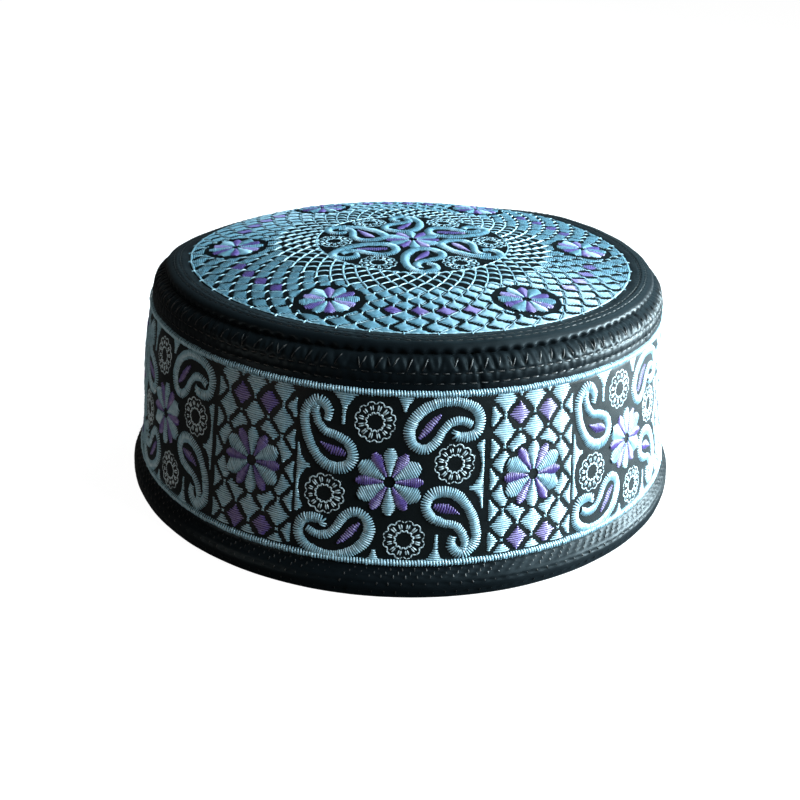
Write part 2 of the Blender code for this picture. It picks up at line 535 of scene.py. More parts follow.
def lower_relief(run, inset, height):
    """Grooves and puffs of the lower border, with its fold flat where it rests on the table."""
    puffs = soft_waves(run, height, 0.14) * held_share(height, 0.0, FLAT_FOLD)
    return puffs + sewn_grooves(run, height, LOWER_ROWS, 0.19, 0.34, LOWER_SHIFT)


lower_border = turned_cloth(
    "satin_lower_border",
    [(4.0, 0.0), *LOWER_FACE],
    [(5.9, 9.4), (5.2, 5.5), (4.3, 1.2)],
    1100,
    satin_material,
    lower_relief,
    0.32,
)
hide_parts("lower_border")
print("lower border faces:", len(lower_border.data.polygons))

# %% Upper border
UPPER_FACE = [(8.5, 56.2), (8.68, 58.0), (8.78, 60.2), (9.3, 62.2), (10.4, 63.75), (11.6, 64.6), (12.8, 65.0)]
UPPER_ROWS = (58.6, 61.3)
UPPER_SHIFT = 0.5
UPPER_JOINS = (32.5, 102.0)
GATHER_PITCH = 4.2
GATHER_HEIGHT = 63.4
HEM_HEIGHT = 59.9


def upper_relief(run, inset, height):
    """Grooves of the upper border, the pleats below the seam, and two upright joins in the strip."""
    lift = soft_waves(run, height, 0.12) + sewn_grooves(run, height, UPPER_ROWS, 0.30, 0.42, UPPER_SHIFT)
    lean = 0.9 * np.sin(run * 0.21) + 0.5 * np.sin(run * 0.83 + 1.0)
    lean = lean + 0.35 * (height - GATHER_HEIGHT) * np.sign(np.sin(np.pi * run / GATHER_PITCH))
    from_slit = (run + lean + GATHER_PITCH / 2) % GATHER_PITCH - GATHER_PITCH / 2
    slit = hump(from_slit, 0.0, 0.55)
    fold = np.sin(2 * np.pi * run / 2.7 + 1.6 * np.sin(run * 0.37) + 0.9 * height)
    pleats = hump(height, GATHER_HEIGHT, 1.5, 4) * (0.12 - 0.46 * slit + 0.11 * fold)
    hem = hump(height, HEM_HEIGHT, 1.6, 4) * np.cos(2 * np.pi * (run + lean) / GATHER_PITCH)
    for join in UPPER_JOINS:
        lift = lift - 0.45 * hump(run + 0.25 * (height - 60.0), join, 0.5)
    return lift + pleats + 0.09 * hem


upper_border = turned_cloth(
    "satin_upper_border",
    [*UPPER_FACE, (14.4, 65.0)],
    [(14.4, 62.8), (12.9, 61.8), (11.7, 59.5), (11.1, 56.2)],
    1100,
    satin_material,
    upper_relief,
    0.34,
)
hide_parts("upper_border")
print("upper border faces:", len(upper_border.data.polygons))

# %% Ring of the crown
# The rows of the ring are insets, because its face lies nearly level
CROWN_FACE = [
    (12.72, 65.9), (12.8, 66.7), (13.5, 67.5), (14.8, 68.0), (16.6, 68.2), (18.4, 68.1), (20.0, 67.9),
]
CROWN_ROWS = (15.3, 17.3)
CROWN_SHIFT = 0.4


def crown_border_relief(run, inset, height):
    """Two grooves beside the crown's round, and small gathers where the ring meets the seam."""
    lift = soft_waves(run, inset, 0.10) + sewn_grooves(run, inset, CROWN_ROWS, 0.28, 0.40, CROWN_SHIFT)
    return lift + 0.34 * hump(height, 65.6, 0.8) * np.cos(2 * np.pi * run / GATHER_PITCH)


crown_border = turned_cloth(
    "satin_crown_border",
    [(13.2, 65.0), *CROWN_FACE, (20.9, 67.6)],
    [(20.9, 66.0), (16.5, 66.1), (14.6, 65.2)],
    1000,
    satin_material,
    crown_border_relief,
    0.34,
)
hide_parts("crown_border")
print("ring faces:", len(crown_border.data.polygons))

# %% [markdown]
# ## Ground of the band and of the crown
# The band is a straight strip that leans in, and the crown is a low dome. Both are quiet under the
# embroidery, with a slight pucker from the stitches, so a coarse mesh is enough for them.


# %% Band and crown ground
def pucker(run, inset, height):
    """A slight pull of the embroidery on its ground."""
    return 0.10 * np.sin(run * 0.55) * np.sin(height * 0.6 + inset * 0.3)


band_ground = turned_cloth(
    "band_ground_cloth",
    [(band_inset(height), height) for height in (BAND_FOOT, 21.0, 33.0, 45.0, BAND_TOP)],
    [(11.1, 56.2), (8.5, 33.0), (5.9, 9.4)],
    560,
    band_ground_material,
    pucker,
    2.0,
)
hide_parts("embroidered_band")


def dome_height(share):
    """Height of the crown's face at a share of the panel's radius."""
    return CAP_HEIGHT - PANEL_DROP * share**2


CROWN_CLOTH = 1.9
dome_shares = np.linspace(1.005, 0.0005, 26)
crown_ground = turned_cloth(
    "crown_ground_cloth",
    [(MEAN_RADIUS - PANEL_RADIUS * share, dome_height(share)) for share in dome_shares],
    [(MEAN_RADIUS - PANEL_RADIUS * share, dome_height(share) - CROWN_CLOTH) for share in dome_shares[::-5]],
    240,
    crown_ground_material,
    pucker,
    2.4,
)
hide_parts("crown_panel")
print("ground faces:", len(band_ground.data.polygons), len(crown_ground.data.polygons))

# %% [markdown]
# ## Rayon embroidery thread
# The embroidery is sewn with twisted rayon, which is smooth and shiny: a highlight slides along each stitch
# and goes almost white. The gloss is therefore fairly tight, and anisotropic, because the filaments lie
# side by side and stretch the highlight along them. Fine slanting lines across the thread stand for the
# twist, about three strands in a thread. A slow noise shifts the shade a little from one part of the sewing
# to the next. The same function serves the blues, the purple, the white and the dark sewing thread, which is
# duller cotton. The darker blue of the crown is the pale blue thread made darker as painted shade, and the
# light colour of the band's lace wheels is partly a painted highlight for their glints.


# %% Thread materials
def thread_material(name, dark, light, gloss=0.38, shine=1.0):
    """Twisted thread between two shades, with its roughness and its specular level."""
    material, tree = new_material(name)
    thread_map = add_node(tree, "ShaderNodeUVMap", {"uv_map": "thread"})
    twist = add_node(
        tree,
        "ShaderNodeTexWave",
        {"wave_type": "BANDS", "bands_direction": "DIAGONAL"},
        {"Scale": 1.3, "Distortion": 0.6, "Detail": 1.0},
        {"Vector": thread_map.outputs["UV"]},
    )
    place = add_node(tree, "ShaderNodeTexCoord")
    shade = add_node(
        tree,
        "ShaderNodeTexNoise",
        values={"Scale": 900.0, "Detail": 1.0, "Roughness": 0.4},
        links={"Vector": place.outputs["Object"]},
    )
    tint = add_node(
        tree,
        "ShaderNodeMix",
        COLOUR_MIX,
        {MIX_A: linear(dark), MIX_B: linear(light)},
        {"Factor": shade.outputs["Fac"]},
    )
    bump = add_node(
        tree,
        "ShaderNodeBump",
        values={"Strength": 0.4, "Distance": 0.00012},
        links={"Height": twist.outputs["Fac"]},
    )
    along = add_node(tree, "ShaderNodeTangent", {"direction_type": "UV_MAP", "uv_map": "thread"})
    rayon = add_node(
        tree,
        "ShaderNodeBsdfPrincipled",
        values={
            "IOR": 1.53,
            "Roughness": gloss,
            "Specular IOR Level": shine,
            "Anisotropic": 0.85,
            "Sheen Weight": 0.04,
            "Sheen Roughness": 0.4,
        },
        links={
            "Base Color": tint.outputs[MIX_RESULT],
            "Normal": bump.outputs["Normal"],
            "Tangent": along.outputs["Tangent"],
        },
    )
    add_node(tree, "ShaderNodeOutputMaterial", links={"Surface": rayon.outputs["BSDF"]})
    return material


pale_thread = thread_material("pale_blue_rayon", "#5a8599", "#98bfce")
# A darker copy of the pale blue thread for the crown: painted shade, where the crown lies darker than the
# band
painted_shade_blue_thread = thread_material("painted_shade_blue_rayon", "#3a6a81", "#6c9db1")
purple_thread = thread_material("purple_rayon", "#3b2c6c", "#64549f")
# Light thread for the band's lace wheels: partly the thread's own white, partly a painted highlight for their
# glints
white_thread = thread_material("painted_glint_white_rayon", "#809ba7", "#bdd2db")
black_thread = thread_material("black_sewing_thread", "#040506", "#0e1214", 0.34, 0.30)
print("threads:", [item.name for item in bpy.data.materials if item.name.endswith(("rayon", "thread"))])

# %% [markdown]
# ## One stitch
# A stitch leaves the cloth through one needle hole, arches over, and goes back in through another. Each one
# here is half a tube: a few points round its upper half, at a few stations along it, higher in the middle
# than at its ends. The stitches are first laid out flat in millimetres, as rows of start, end, width and
# height. A place function then wraps them on the wall or on the crown. Thousands of them are one mesh, made
# in one go from arrays.


# %% Stitch helpers
def spots(x, y):
    """Flat spots in mm from their x and y, each a number or an array."""
    return np.column_stack(np.broadcast_arrays(x, y))


def stitch_rows(starts, ends, width, height):
    """Flat stitches as rows of start x, y, end x, y, thread width and arch height, in mm."""
    starts = np.atleast_2d(starts)
    ends = np.atleast_2d(ends)
    count = len(starts)
    return np.column_stack([starts, ends, np.full(count, width), np.full(count, height)])


def turned(stitches, degrees):
    """Stitches turned about the origin of the flat layout."""
    angle = np.radians(degrees)
    turn = np.array([[np.cos(angle), np.sin(angle)], [-np.sin(angle), np.cos(angle)]])
    out = stitches.copy()
    out[:, 0:2] = stitches[:, 0:2] @ turn
    out[:, 2:4] = stitches[:, 2:4] @ turn
    return out


def moved(stitches, dx, dy):
    """Stitches moved in the flat layout."""
    return stitches + np.array([dx, dy, dx, dy, 0.0, 0.0])


TUBE_SIDES = 4
ROOT_DEPTH = 0.12


def sewn_threads(name, stitches, place, material, stations=5, roundness=0.42):
    """Arched half tubes for rows of flat stitches, wrapped by the place function, as one mesh."""
    start = stitches[:, None, None, 0:2]
    line = stitches[:, None, None, 2:4] - start
    length = np.linalg.norm(line, axis=-1, keepdims=True)
    across = np.stack([-line[..., 1], line[..., 0]], axis=-1) / length
    count = len(stitches)
    width = (stitches[:, 4] * dice.uniform(0.90, 1.08, count))[:, None, None]
    height = (stitches[:, 5] * dice.uniform(0.82, 1.15, count))[:, None, None]
    part = np.linspace(0.0, 1.0, stations)[None, :, None]
    bow = 1.0 - np.abs(2.0 * part - 1.0) ** 2.4
    turn = np.linspace(0.0, np.pi, TUBE_SIDES)[None, None, :]
    spread = -np.cos(turn) * width * (0.36 + 0.14 * bow)
    flat = start + line * part[..., None] + across * spread[..., None]
    lift = height * bow - ROOT_DEPTH + np.sin(turn) * width * roundness * (0.6 + 0.4 * bow)
    vertices = place(flat[..., 0], flat[..., 1], lift).reshape(-1, 3)
    station, side = np.divmod(np.arange((stations - 1) * (TUBE_SIDES - 1)), TUBE_SIDES - 1)
    near = station * TUBE_SIDES + side
    far = near + TUBE_SIDES
    corner = np.stack([near, far, far + 1, near + 1], axis=1)
    quads = (np.arange(count)[:, None, None] * stations * TUBE_SIDES + corner).reshape(-1, 4)
    across_uv = np.linspace(0.0, 1.0, TUBE_SIDES)[None, None, :]
    along_uv = length[..., 0] * part + dice.uniform(0.0, 3.0, (count, 1, 1))
    uv = np.stack(np.broadcast_arrays(across_uv, along_uv), axis=-1).reshape(-1, 2)
    return mesh_from_quads(name, vertices, quads, uv[quads.ravel()], "thread", material)


FRONT_RUN = np.interp(radians(-83.57), RING_ANGLES, RING_LENGTHS)


def on_band(run, height, lift):
    """Wrap a place of the flat band, from the middle of the front paisley cell, onto the leaning wall."""
    angle = angle_at(FRONT_RUN + run)
    tilt = np.hypot(1.0, BAND_SLOPE)
    upright = BAND_MIDDLE + height + lift * BAND_SLOPE / tilt
    inset = band_inset(BAND_MIDDLE + height) - lift / tilt
    return ring_point(inset, upright, angle)


def on_crown(x, y, lift):
    """Wrap a place of the flat round, in mm of its mean radius, onto the oval dome."""
    reach = np.hypot(x, y)
    share = reach / PANEL_RADIUS
    lean = 2.0 * PANEL_DROP / PANEL_RADIUS * share
    out = (1.0 + lift * lean / np.maximum(reach, 1.0)) / MEAN_RADIUS
    return settled(x * out * HALF_WIDTH, y * out * HALF_LENGTH, dome_height(share) + lift)


print("front of the band starts at, mm:", round(float(FRONT_RUN), 1))

# %% [markdown]
# ## Satin columns, fills and clipping
# Embroidery is made of two kinds of area. A satin column follows a line with short stitches laid across it,
# side by side. A fill covers a shape with parallel stitches. Where a flower lies over a pattern, the
# stitches under it are cut back to leave its black surround.


# %% Layout helpers
FILL_THREAD = 0.50


def column(path, widths, pitch, thread, height):
    """Satin stitches across a path, as wide as `widths` say from its start to its end, with ragged ends."""
    line = rounded(path, 0.3)
    run = run_along(line)
    count = max(2, int(round(run[-1] / pitch)))
    at = (np.arange(count) + 0.5) / count * run[-1]
    centre = spots(np.interp(at, run, line[:, 0]), np.interp(at, run, line[:, 1]))
    heading = np.gradient(line, run, axis=0)
    aim = np.arctan2(np.interp(at, run, heading[:, 1]), np.interp(at, run, heading[:, 0])) + np.pi / 2
    reach = np.interp(at, np.linspace(0.0, run[-1], len(widths)), widths) / 2
    side = spots(np.cos(aim), np.sin(aim))
    low = (reach + dice.uniform(-0.12, 0.12, count))[:, None]
    high = (reach + dice.uniform(-0.12, 0.12, count))[:, None]
    return stitch_rows(centre - side * low, centre + side * high, thread, height)


def filled(outline, degrees, pitch, height, shortest=0.5):
    """Parallel stitches at an angle that fill a convex outline, with ragged ends."""
    angle = np.radians(degrees)
    turn = np.array([[np.cos(angle), -np.sin(angle)], [np.sin(angle), np.cos(angle)]])
    shape = np.array(outline, float) @ turn
    low = shape[:, 1].min()
    high = shape[:, 1].max()
    count = max(1, int(round((high - low) / pitch)))
    rows = []
    for level in low + (np.arange(count) + 0.503) * (high - low) / count:
        hits = []
        for first, second in zip(shape, np.roll(shape, -1, axis=0)):
            if (first[1] - level) * (second[1] - level) < 0:
                share = (level - first[1]) / (second[1] - first[1])
                hits.append(first[0] + share * (second[0] - first[0]))
        if len(hits) == 2 and abs(hits[1] - hits[0]) > shortest:
            rows.append([min(hits), level, max(hits), level])
    rows = np.array(rows).reshape(-1, 4)
    rows[:, 0] += dice.uniform(-0.22, 0.22, len(rows))
    rows[:, 2] += dice.uniform(-0.22, 0.22, len(rows))
    return stitch_rows(rows[:, 0:2] @ turn.T, rows[:, 2:4] @ turn.T, FILL_THREAD, height)


def cut_round(stitches, x, y, radius, shortest=0.6):
    """The parts of the stitches that lie outside a circle."""
    start = stitches[:, 0:2] - [x, y]
    line = stitches[:, 2:4] - stitches[:, 0:2]
    square = (line**2).sum(axis=1)
    cross = (start * line).sum(axis=1)
    depth = cross**2 - square * ((start**2).sum(axis=1) - radius**2)
    root = np.sqrt(np.maximum(depth, 0.0))
    enter = (-cross - root) / square
    leave = (-cross + root) / square
    missed = (depth <= 0) | (enter >= 1) | (leave <= 0)
    before = (np.zeros(len(line)), np.where(missed, 1.0, np.clip(enter, 0, 1)))
    after = (np.where(missed, 1.0, np.clip(leave, 0, 1)), np.ones(len(line)))
    pieces = []
    for low, high in (before, after):
        kept = (high - low) * np.sqrt(square) > shortest
        part = stitches[kept].copy()
        part[:, 0:2] = (stitches[:, 0:2] + line * low[:, None])[kept]
        part[:, 2:4] = (stitches[:, 0:2] + line * high[:, None])[kept]
        pieces.append(part)
    return np.vstack(pieces)


sample = cut_round(stitch_rows([(-5.0, 0.0)], [(5.0, 0.0)], 0.5, 0.2), 0.0, 0.0, 2.0)
print("a stitch cut by a circle:", sample[:, 0:4].round(1).tolist())

# %% [markdown]
# ## Flowers, wheels and drops
# Three small motifs repeat all over the cap. The flower has twelve petals, blue and purple by turns, each a
# satin column from the black heart to the rim. Two blue petals that face each other are narrower than the
# rest. The lace wheel is an open ring of fine straight stitches. The drop is a short purple column with
# pointed ends, which fills the eye of a paisley.

# %% Flower
SATIN_PITCH = 0.58
SATIN_THREAD = 0.54
FLOWER_RADIUS = 9.1


def petal_widths(narrow, wide):
    """Widths along a petal: it opens evenly and ends in a round tip."""
    share = np.linspace(0.0, 1.0, 40)
    opening = narrow + (wide - narrow) * np.minimum(share / 0.72, 1.0) ** 0.9
    tip = np.sqrt(np.clip(1.0 - (np.clip(share - 0.62, 0.0, 1.0) / 0.385) ** 2, 0.02, 1.0))
    return opening * tip


def flower(radius, first_degrees=90.0, purple_wide=3.3):
    """Blue and purple stitches of a flower, the first blue petal at an angle."""
    blue = []
    purple = []
    for number in range(12):
        angle = np.radians(first_degrees + 30.0 * number)
        heading = np.array([np.cos(angle), np.sin(angle)]) * radius / FLOWER_RADIUS
        if number % 2 == 0:
            path = [heading * reach for reach in (1.5, 4.0, 6.5, 9.3)]
            widths = petal_widths(0.7, 3.9 if number % 6 == 0 else 5.2)
            blue.append(column(path, widths, SATIN_PITCH, SATIN_THREAD, 0.42))
        else:
            path = [heading * reach for reach in (1.6, 4.0, 6.5, 8.9)]
            widths = petal_widths(0.5, purple_wide)
            purple.append(column(path, widths, SATIN_PITCH, SATIN_THREAD, 0.36))
    return np.vstack(blue), np.vstack(purple)


flower_blue, flower_purple = flower(FLOWER_RADIUS)
print("stitches in a flower:", len(flower_blue), len(flower_purple))


# %% Lace wheel
def polar(radius, degrees):
    """Flat spots at a radius and an angle, each a number or an array."""
    angle = np.radians(degrees)
    return spots(radius * np.cos(angle), radius * np.sin(angle))


def lace_wheel(radius):
    """Fine straight stitches: a rim of twelve lobes, two spokes in each and a zigzag hub ring."""
    lobes = np.arange(12) * 30.0
    rows = []
    corners = ((0.86, 0.0), (1.0, 9.0), (1.0, 21.0), (0.86, 30.0))
    for (low_reach, low_turn), (high_reach, high_turn) in zip(corners, corners[1:]):
        start = polar(radius * low_reach, lobes + low_turn)
        end = polar(radius * high_reach, lobes + high_turn)
        overlap = (end - start) * 0.12
        rows.append(stitch_rows(start - overlap, end + overlap, 0.38, 0.12))
    spokes = np.concatenate([lobes + 10.5, lobes + 19.5])
    rows.append(stitch_rows(polar(radius * 0.55, spokes), polar(radius * 0.84, spokes), 0.40, 0.20))
    for side in (15.0, -15.0):
        rows.append(stitch_rows(polar(radius * 0.38, lobes), polar(radius * 0.52, lobes + side), 0.40, 0.18))
    return np.vstack(rows)


wheel = lace_wheel(5.5)
print("stitches in a wheel:", len(wheel))

# %% [markdown]
# ## The paisley cell of the band
# A cell of the band is 53 mm long. It holds a flower, four paisleys that hook round purple drops, four lace
# wheels and tufts that grow from the edges. The lower half repeats the upper half turned by half a turn, so
# only the upper half is written down. A paisley is one line, from the tip of its hook to the end of its
# curl, with satin stitches across it.

# %% Paisley cell
PAISLEY_LEFT = [
    (-17.3, 15.0), (-16.7, 17.5), (-19.5, 20.3), (-23.3, 17.0), (-23.3, 13.0), (-21.5, 8.0), (-18.5, 4.0),
    (-14.5, 2.3), (-11.0, 3.2), (-9.6, 6.3), (-11.0, 9.3), (-14.0, 11.0), (-17.5, 12.0), (-19.8, 14.5),
    (-20.6, 17.3), (-20.2, 19.0),
]
PAISLEY_RIGHT = [
    (17.3, 13.5), (16.9, 12.3), (19.5, 11.6), (22.7, 12.5), (23.8, 15.5), (22.5, 19.0), (18.0, 21.0),
    (13.0, 21.2), (8.5, 19.5), (5.3, 16.0), (4.6, 12.0), (6.5, 9.0), (9.3, 8.5), (11.8, 10.5),
    (13.5, 13.5), (16.0, 15.8), (19.0, 16.0), (21.5, 14.8),
]
PAISLEY_WIDTHS = (2.2, 2.9, 3.1, 3.0, 2.8, 2.7, 2.8, 3.1, 3.3, 3.1, 2.8, 2.5, 2.4, 2.5, 2.3)
PAISLEY_STITCH = (0.62, 0.52, 0.50)
TUFT_STITCH = (0.6, 0.54, 0.3)
DROP_STITCH = (0.68, 0.54, 0.3)

# A spike stands beside the lattice: its width by height, sewn with level stitches up to a straight edge
SPIKE_RUN = (-8.3, -5.0, -3.2, -2.7, -1.5, 1.0, 4.0, 7.0, 9.2, 10.8)
SPIKE_WIDTH = (0.4, 1.4, 3.0, 4.8, 2.5, 1.2, 0.8, 1.3, 2.4, 0.4)
SPIKE_EDGE = 25.3
spike_at = np.arange(-8.3, 10.8, 0.6)
spike_count = len(spike_at)
spike_wide = np.interp(spike_at, SPIKE_RUN, SPIKE_WIDTH) + dice.uniform(-0.15, 0.15, spike_count)
spike_ragged = spike_at + dice.uniform(-0.1, 0.1, spike_count)
spike_left = spots(SPIKE_EDGE - np.maximum(spike_wide, 0.5), spike_ragged)
spike_right = spots(SPIKE_EDGE, spike_at)
spike = moved(stitch_rows(spike_left, spike_right, 0.54, 0.26), 0.1, 0.55)

half_blue = np.vstack([
    moved(column(PAISLEY_LEFT, PAISLEY_WIDTHS, *PAISLEY_STITCH), -0.25, 0.2),
    moved(column(PAISLEY_RIGHT, PAISLEY_WIDTHS, *PAISLEY_STITCH), 0.1, 0.65),
    column([(-12.7, 23.2), (-12.8, 20.6), (-13.0, 18.9)], (7.6, 3.2, 1.2), *TUFT_STITCH),
    column([(-13.0, 18.7), (-13.0, 16.7), (-13.0, 14.6)], (1.2, 1.0, 1.0), 0.6, 0.54, 0.2),
    column([(3.5, 23.2), (3.4, 21.0), (3.3, 19.2)], (4.8, 2.3, 0.8), *TUFT_STITCH),
    spike,
])
half_purple = np.vstack([
    column([(-19.1, 9.1), (-16.4, 7.8), (-13.7, 7.1), (-11.9, 6.4)], (0.5, 1.8, 2.9, 2.7, 1.2), *DROP_STITCH),
    column([(7.3, 12.0), (9.1, 14.1), (11.1, 16.6), (13.0, 18.6)], (0.8, 2.1, 2.3, 1.8, 0.6), *DROP_STITCH),
])
half_wheels = np.vstack([moved(wheel, -4.5, 16.05), moved(wheel, 17.2, 5.0)])
cell_blue = np.vstack([half_blue, turned(half_blue, 180.0), flower_blue])
cell_purple = np.vstack([half_purple, turned(half_purple, 180.0), flower_purple])
cell_wheels = np.vstack([half_wheels, turned(half_wheels, 180.0)])
print("stitches in a paisley cell:", len(cell_blue), len(cell_purple), len(cell_wheels))

# %% [markdown]
# ## The lattice cell of the band
# Between the paisley cells stands a lattice of filled diamonds, with a flower over its middle. Rows of
# diamonds lie 4.4 mm apart, every second row shifted by half a diamond. Level stitches fill each diamond,
# and small knots sit where four diamonds meet.

# %% Lattice cell
DIAMOND_STEP = 4.55
DIAMOND_RISE = 4.4
BLUE_HALF = (3.5, 3.9)
PURPLE_HALF = (3.15, 3.4)
CELL_HALF = 13.3
CELL_DROP = -0.9
LATTICE_DROP = -1.25
LATTICE_TALL = 22.3
FLOWER_HOLE = 9.7


def lattice_cell():
    """Blue and purple stitches of a lattice cell, held inside its box."""
    blue = []
    purple = []
    for row in range(-5, 7):
        for place in range(-3, 4):
            if (place + row) % 2 == 0:
                continue
            x = place * DIAMOND_STEP
            y = row * DIAMOND_RISE
            is_purple = abs(row) == 4 and abs(place) == 1
            wide, tall = PURPLE_HALF if is_purple else BLUE_HALF
            outline = [(x - wide, y), (x, y - tall), (x + wide, y), (x, y + tall)]
            lines = filled(outline, 0.0, 0.62, 0.32, 0.35)
            lines = lines[np.abs(lines[:, 1] + LATTICE_DROP) < LATTICE_TALL]
            lines[:, [0, 2]] = np.clip(lines[:, [0, 2]], -CELL_HALF, CELL_HALF)
            lines = lines[lines[:, 2] - lines[:, 0] > 0.5]
            (purple if is_purple else blue).append(lines)
    return np.vstack(blue), np.vstack(purple)


def lattice_knots():
    """Small crossed stitches where four diamonds meet."""
    knots = []
    for row in range(-4, 5):
        for place in range(-3, 4):
            x = place * DIAMOND_STEP
            y = row * DIAMOND_RISE
            if (place + row) % 2 == 0 and np.hypot(x, y) > 10.2 and abs(x) < CELL_HALF:
                knots.append((x, y))
    knots = np.array(knots)
    rows = [stitch_rows(knots - [half, 0.45], knots + [half, 0.45], 0.32, 0.16) for half in (-0.5, 0.5)]
    return np.vstack(rows)


lattice_blue, lattice_purple = lattice_cell()
lattice_blue = np.vstack([cut_round(lattice_blue, 0.0, 0.0, FLOWER_HOLE), lattice_knots(), flower_blue])
lattice_purple = np.vstack([lattice_purple, flower_purple])
print("stitches in a lattice cell:", len(lattice_blue), len(lattice_purple))

# %% [markdown]
# ## Seven times round the band
# The two cells make a repeat of 80.6 mm, and seven repeats go round the head.

# %% Sew the band
REPEATS = 7
REPEAT = RING_ROUND / REPEATS
LATTICE_AT = REPEAT / 2 + 0.45


def round_band(stitches, at=0.0, rise=CELL_DROP):
    """The stitches of a cell, in every repeat of the band, a little below the middle of the wall."""
    return np.vstack([moved(stitches, at + REPEAT * number, rise) for number in range(REPEATS)])


def sew(name, stitches, place, material, slot, **shape):
    piece = sewn_threads(name, stitches, place, material, **shape)
    print(name, "stitches", len(stitches), "triangles", 2 * len(piece.data.polygons))
    return piece


sew("band_paisley_stitches", round_band(cell_blue), on_band, pale_thread, "pale_blue_thread")
round_lattice = round_band(lattice_blue, LATTICE_AT, LATTICE_DROP)
sew("band_lattice_stitches", round_lattice, on_band, pale_thread, "pale_blue_thread")
band_purple = np.vstack([round_band(cell_purple), round_band(lattice_purple, LATTICE_AT, LATTICE_DROP)])
sew("band_purple_stitches", band_purple, on_band, purple_thread, "purple_thread")
# The band's wheels use the light thread, whose colour partly paints their glints
sew("band_lace_wheels", round_band(cell_wheels), on_band, white_thread, "white_thread", stations=4)

# %% [markdown]
# ## Stitched edges of the band
# A close row of stitches covers the cord at each edge of the band. They lie across the cord and lean a
# little, about 0.8 mm from one to the next. They stand for the cords of the part, which are as wide and as
# high.

# %% Edge stitches
EDGE_PITCH = 0.80
edge_count = int(RING_ROUND / EDGE_PITCH)
edge_at = np.arange(edge_count) * RING_ROUND / edge_count
edge_rows = []
for edge_height in (BAND_FOOT - BAND_MIDDLE - 0.25, BAND_TOP - BAND_MIDDLE - 0.35):
    low = spots(edge_at, edge_height - 0.95 + dice.uniform(-0.12, 0.12, edge_count))
    high = spots(edge_at - 0.25, edge_height + 0.95 + dice.uniform(-0.12, 0.12, edge_count))
    edge_rows.append(stitch_rows(low, high, 0.62, 0.75))
edge_stitches = sew(
    "edge_cord_stitches", np.vstack(edge_rows), on_band, pale_thread, "pale_blue_thread", roundness=0.40
)
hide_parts("lower_edge_cord", "upper_edge_cord")
print("edge stitches:", 2 * edge_count)

# %% [markdown]
# ## The diamond round of the crown
# The crown's pattern is a round of 48 diamonds to a ring, drawn like a sunflower: every ring is shifted by
# half a diamond. The four inner rings are an open net of crossing threads on black, and the outer ones are
# filled with stitches that run round the ring. The gap between diamonds is wide on one family of curves and
# narrow on the other, where a thin pale thread shows, which makes the pattern seem to turn.

# %% Crown diamonds
DIAMONDS_ROUND = 48
DIAMOND_TURN = 360.0 / DIAMONDS_ROUND
HALF_TURN = DIAMOND_TURN / 2
FIRST_DIAMOND = -86.25
NET_RINGS = 4
LAST_RING = 12
PURPLE_RING = 8
WIDE_GAP = 0.84
NARROW_GAP = 0.36
CROWN_HOLE = 10.6
FLOWER_ANGLES = 15.0 + 60.0 * np.arange(6)


def crown_ring(share):
    """Six flat spots on a ring of the crown, at the angles of its flowers."""
    return polar(share * PANEL_RADIUS, FLOWER_ANGLES)


FLOWER_SPOTS = crown_ring(0.80)
WHEEL_SPOTS = crown_ring(0.36)


def ring_radius(ring):
    """Radius in mm of a ring of diamond middles, counted from the net outwards."""
    return (0.465 + 0.0425 * min(ring, NET_RINGS) + 0.0456 * max(ring - NET_RINGS, 0)) * PANEL_RADIUS


def diamond_angles(ring):
    """Angles of the diamonds of a ring, every second ring shifted by half a diamond."""
    return FIRST_DIAMOND + DIAMOND_TURN * (np.arange(DIAMONDS_ROUND) + 0.5 * (ring % 2))


def diamond_outline(ring, degrees):
    """Corners of a diamond, drawn in by the two gaps."""
    near = polar(ring_radius(ring - 1), degrees)[0]
    far = polar(ring_radius(ring + 1), degrees)[0]
    behind, ahead = polar(ring_radius(ring), degrees + np.array([-HALF_TURN, HALF_TURN]))
    middle = (near + far + ahead + behind) / 4
    rising = (ahead - near + far - behind) / 2
    falling = (behind - near + far - ahead) / 2
    area = abs(rising[0] * falling[1] - rising[1] * falling[0])
    rising = rising * (1 - 2 * NARROW_GAP * np.linalg.norm(falling) / area) / 2
    falling = falling * (1 - 4 * WIDE_GAP * np.linalg.norm(rising) / area) / 2
    low = middle - falling
    high = middle + falling
    return [low - rising, low + rising, high + rising, high - rising]


def is_purple_diamond(ring, degrees):
    """Four purple diamonds lie between every two flowers of the crown."""
    return ring == PURPLE_RING and (degrees - FIRST_DIAMOND) % 60.0 < 23.0


def held_inside(stitches, radius):
    """Stitches shortened where they would pass a radius of the round."""
    held = stitches.copy()
    for end in (0, 2):
        size = np.linalg.norm(held[:, end:end + 2], axis=1)
        held[:, end:end + 2] *= np.minimum(1.0, radius / size)[:, None]
    return held[np.linalg.norm(held[:, 2:4] - held[:, 0:2], axis=1) > 0.5]


diamond_blue = []
diamond_purple = []
for ring in range(NET_RINGS, LAST_RING + 1):
    for degrees in diamond_angles(ring):
        stitches = filled(diamond_outline(ring, degrees), degrees + 90.0, 0.60, 0.20)
        if ring == LAST_RING:
            stitches = held_inside(stitches, 0.993 * PANEL_RADIUS)
        (diamond_purple if is_purple_diamond(ring, degrees) else diamond_blue).append(stitches)
diamond_blue = np.vstack(diamond_blue)
diamond_purple = np.vstack(diamond_purple)
for x, y in FLOWER_SPOTS:
    diamond_blue = cut_round(diamond_blue, x, y, CROWN_HOLE)
    diamond_purple = cut_round(diamond_purple, x, y, CROWN_HOLE)
print("crown diamond stitches:", len(diamond_blue), len(diamond_purple))


